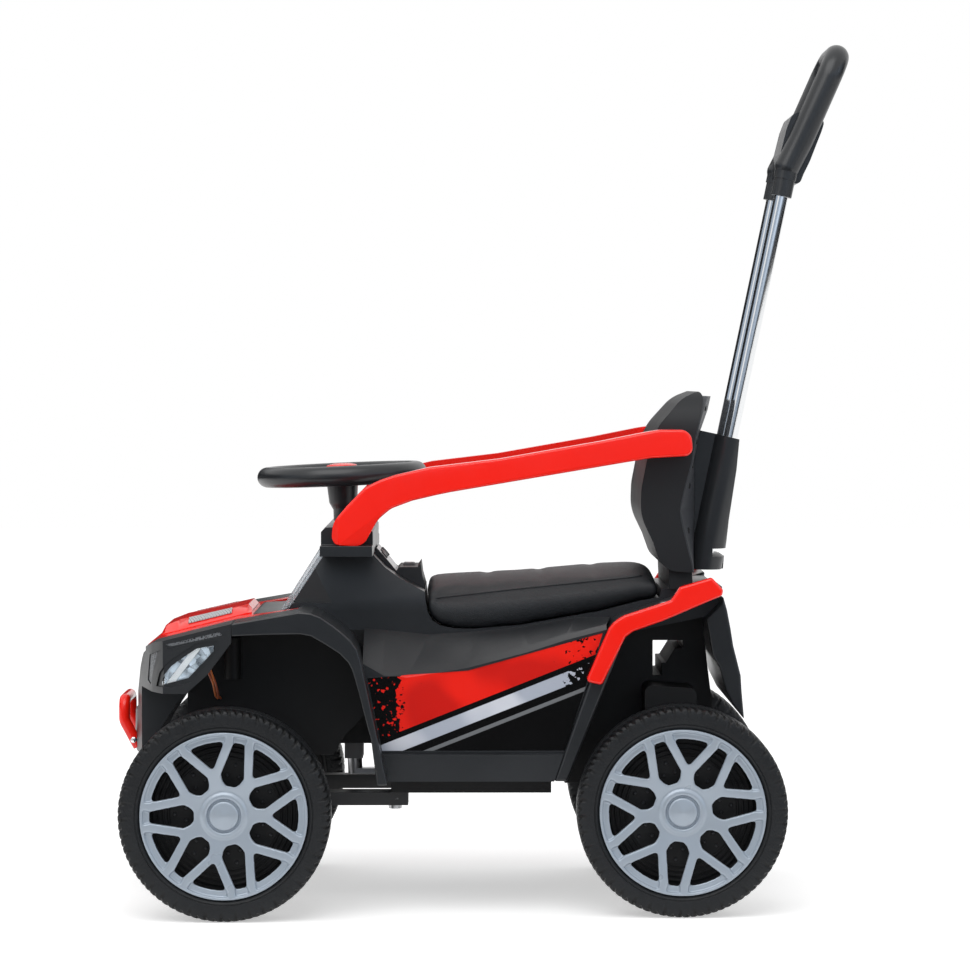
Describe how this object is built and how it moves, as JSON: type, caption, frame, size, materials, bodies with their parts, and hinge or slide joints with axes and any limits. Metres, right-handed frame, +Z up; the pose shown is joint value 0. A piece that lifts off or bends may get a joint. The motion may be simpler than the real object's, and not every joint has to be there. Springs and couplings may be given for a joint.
{
  "type": "child's ride-on quad",
  "caption": "Child's push-along ride-on quad with spoked wheels, a steered front axle, padded seat and backrest, guard bars and a removable looped push handle.",
  "frame": {"origin": "middle of the footprint on the floor", "axes": "+Z up, front towards -X, the toy's left side towards -Y"},
  "size_m": [0.7999, 0.436, 0.9343],
  "materials": {
    "tyre": "satin black foam rubber",
    "black_plastic": "fine grained black",
    "gloss_black": "glossy black",
    "red_plastic": "glossy bright red",
    "silver_plastic": "silver grey",
    "grey_plastic": "plain grey",
    "clear_plastic": "clear",
    "seat_skin": "black imitation leather",
    "plated_tube": "bright plated",
    "plain_steel": "plain steel",
    "painted_steel": "black paint",
    "lead_skin": "orange brown insulation"
  },
  "bodies": {
    "chassis": {"kingpins": "plain_steel", "rail_bolts": "plain_steel", "rear_axle": "plain_steel", "floor_pan": "black_plastic", "front_bulkhead": "black_plastic", "rear_carrier": "black_plastic", "front_fascia": "black_plastic", "console_collar": "black_plastic", "dash_panel": "black_plastic", "hood": "red_plastic", "bull_bar": "red_plastic", "column_bearing": "grey_plastic", "hood_vents": "grey_plastic", "front_axle_beam": "painted_steel", "subframe_rail_left": "painted_steel", "subframe_rail_right": "painted_steel", "body_shell": "gloss_black", "front_fender_left": "black_plastic", "front_fender_right": "black_plastic", "rear_fender_left": "black_plastic", "rear_fender_right": "black_plastic", "tail_panel": "black_plastic", "grille": "black_plastic", "rear_trim_left": "red_plastic", "rear_trim_right": "red_plastic", "guard_bar_left": "red_plastic", "guard_bar_right": "red_plastic", "headlamp_lenses": "clear_plastic", "windscreen": "clear_plastic", "headlamp_reflectors": "plated_tube", "lamp_leads": "lead_skin", "backrest_front": "black_plastic", "backrest_rear": "black_plastic", "tube_holder": "black_plastic", "drive_units": "black_plastic", "battery": "black_plastic", "control_box": "black_plastic", "seat_pad": "seat_skin"},
    "steering": {"steering_shaft": "plain_steel", "steering_wheel": "black_plastic"},
    "horn": {"horn_cap": "red_plastic"},
    "link": {"steering_link": "painted_steel"},
    "knuckle_left": {"knuckle_left": "painted_steel"},
    "knuckle_right": {"knuckle_right": "painted_steel"},
    "front_left_wheel": {"front_left_tyre": "tyre", "front_left_core": "black_plastic", "front_left_cover": "silver_plastic"},
    "front_right_wheel": {"front_right_tyre": "tyre", "front_right_core": "black_plastic", "front_right_cover": "silver_plastic"},
    "rear_left_wheel": {"rear_left_tyre": "tyre", "rear_left_core": "black_plastic", "rear_left_cover": "silver_plastic"},
    "rear_right_wheel": {"rear_right_tyre": "tyre", "rear_right_core": "black_plastic", "rear_right_cover": "silver_plastic"},
    "handle": {"handle_tubes": "plated_tube", "handle_grip": "black_plastic"},
    "power_button": {"power_button": "grey_plastic"},
    "direction_rocker": {"direction_rocker": "red_plastic"}
  },
  "joints": [
    {"name": "steering_turn", "type": "hinge", "parent": "chassis", "child": "steering", "pos_m": [-0.15652, 0, 0.46348], "axis": [-0.0436, 0, 0.999], "range_deg": [-26, 26]},
    {"name": "horn_push", "type": "slide", "parent": "steering", "child": "horn", "axis": [0.0436, 0, -0.999], "range_m": [0, 0.0018], "stiffness_N_per_m": 600, "springref_m": -0.0005},
    {"name": "link_pivot", "type": "hinge", "parent": "steering", "child": "link", "pos_m": [-0.10605, 0, 0.1275], "axis": [-0.0436, 0, 0.999], "range_deg": [-26, 26]},
    {"name": "knuckle_left_turn", "type": "hinge", "parent": "chassis", "child": "knuckle_left", "pos_m": [-0.2728, -0.14, 0.1115], "axis": [0, 0, 1], "range_deg": [-26, 26]},
    {"name": "knuckle_right_turn", "type": "hinge", "parent": "chassis", "child": "knuckle_right", "pos_m": [-0.2728, 0.14, 0.1115], "axis": [0, 0, 1], "range_deg": [-26, 26]},
    {"name": "front_left_spin", "type": "hinge", "parent": "knuckle_left", "child": "front_left_wheel", "pos_m": [-0.2728, -0.19, 0.1115], "axis": [0, 1, 0], "continuous": true},
    {"name": "front_right_spin", "type": "hinge", "parent": "knuckle_right", "child": "front_right_wheel", "pos_m": [-0.2728, 0.19, 0.1115], "axis": [0, 1, 0], "continuous": true},
    {"name": "rear_left_spin", "type": "hinge", "parent": "chassis", "child": "rear_left_wheel", "pos_m": [0.2092, -0.163, 0.1115], "axis": [0, 1, 0], "continuous": true},
    {"name": "rear_right_spin", "type": "hinge", "parent": "chassis", "child": "rear_right_wheel", "pos_m": [0.2092, 0.163, 0.1115], "axis": [0, 1, 0], "continuous": true},
    {"name": "handle_lift", "type": "slide", "parent": "chassis", "child": "handle", "axis": [0.2045, 0, 0.9789], "range_m": [0, 0.15]},
    {"name": "power_push", "type": "slide", "parent": "chassis", "child": "power_button", "axis": [-0.7549, 0, -0.6559], "range_m": [0, 0.0015], "stiffness_N_per_m": 400, "springref_m": -0.0005},
    {"name": "direction_rock", "type": "hinge", "parent": "chassis", "child": "direction_rocker", "pos_m": [-0.08227, 0, 0.3615], "axis": [0, 1, 0], "range_deg": [-10, 10]}
  ],
  "couplings": [
    {"joint": "knuckle_left_turn", "follows": "steering_turn", "ratio": 1},
    {"joint": "knuckle_right_turn", "follows": "steering_turn", "ratio": 1},
    {"joint": "link_pivot", "follows": "steering_turn", "ratio": -1}
  ]
}
